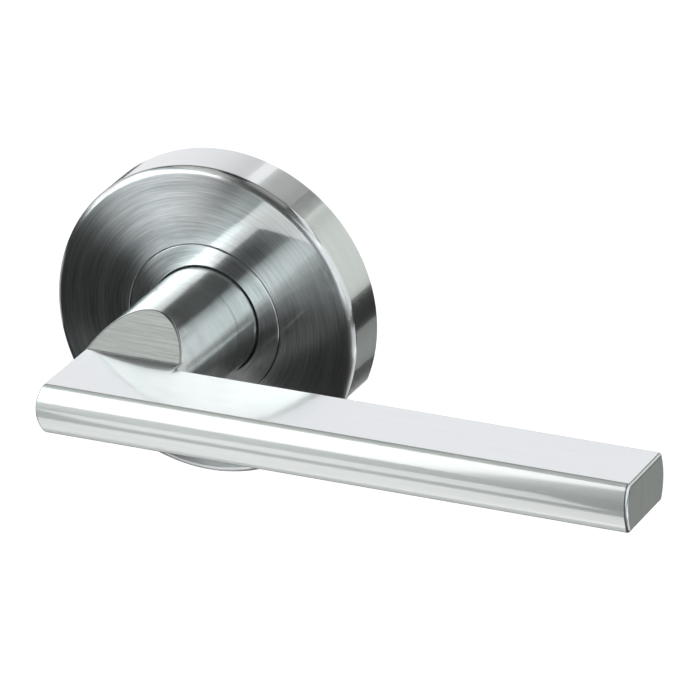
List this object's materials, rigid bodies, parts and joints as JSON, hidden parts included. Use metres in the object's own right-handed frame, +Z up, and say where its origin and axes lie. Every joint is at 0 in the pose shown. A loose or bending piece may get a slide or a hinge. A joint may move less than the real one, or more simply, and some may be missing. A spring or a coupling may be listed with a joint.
{
  "type": "door lever handle",
  "caption": "Brushed stainless door lever handle: a flat-topped bar blade on a round neck, a sprung square-spindle drive and a round rose whose cover slides off the fixings.",
  "frame": {"origin": "on the lever's turning axis, in the plane of the door's face, which is the back of the rose", "axes": "+X along the blade to its tip, +Y into the door along the turning axis, +Z up; the lever stands out of the door towards -Y"},
  "size_m": [0.1411, 0.1021, 0.063],
  "materials": {
    "brushed_stainless_lever": "satin, brushed along the blade and round the neck",
    "brushed_stainless_rose": "satin, brushed in circles on the face and round the rim",
    "brushed_stainless_collar": "satin, brushed in circles",
    "turned_steel": "fine turned",
    "zinc_plated_steel": "zinc plated",
    "yellow_zinc_steel": "yellow passivated zinc",
    "spring_steel": "dark tempered",
    "black_oxide_steel": "black oxide",
    "brass": "plain",
    "black_nylon": "moulded"
  },
  "bodies": {
    "rose": {"bearing_collar": "brushed_stainless_collar", "neck_bush": "black_nylon", "tail_bush": "black_nylon", "back_plate": "zinc_plated_steel", "bolt_post_top": "turned_steel", "bolt_post_bottom": "turned_steel", "fixing_screw_left": "yellow_zinc_steel", "fixing_screw_right": "yellow_zinc_steel", "collar_screw_1": "zinc_plated_steel", "collar_screw_2": "zinc_plated_steel", "collar_screw_3": "zinc_plated_steel", "collar_screw_4": "zinc_plated_steel", "cover_clip_1": "spring_steel", "cover_clip_2": "spring_steel", "cover_clip_3": "spring_steel", "clip_rivet_1": "turned_steel", "clip_rivet_2": "turned_steel", "clip_rivet_3": "turned_steel", "return_spring": "spring_steel"},
    "lever": {"lever_handle": "brushed_stainless_lever", "spindle_hub": "turned_steel", "spindle": "zinc_plated_steel", "grub_screw": "black_oxide_steel", "spring_driver": "zinc_plated_steel", "thrust_washer": "brass", "circlip": "spring_steel"},
    "cover": {"rose_cover": "brushed_stainless_rose"}
  },
  "joints": [
    {"name": "lever_turn", "type": "hinge", "parent": "rose", "child": "lever", "pos_m": [0, 0, 0], "axis": [0, 1, 0], "range_deg": [-45, 45], "stiffness_Nm_per_rad": 1.6, "springref_deg": -2.96, "deforming": ["return_spring"]},
    {"name": "cover_slide", "type": "slide", "parent": "rose", "child": "cover", "axis": [0, -1, 0], "range_m": [0, 0.03]}
  ]
}
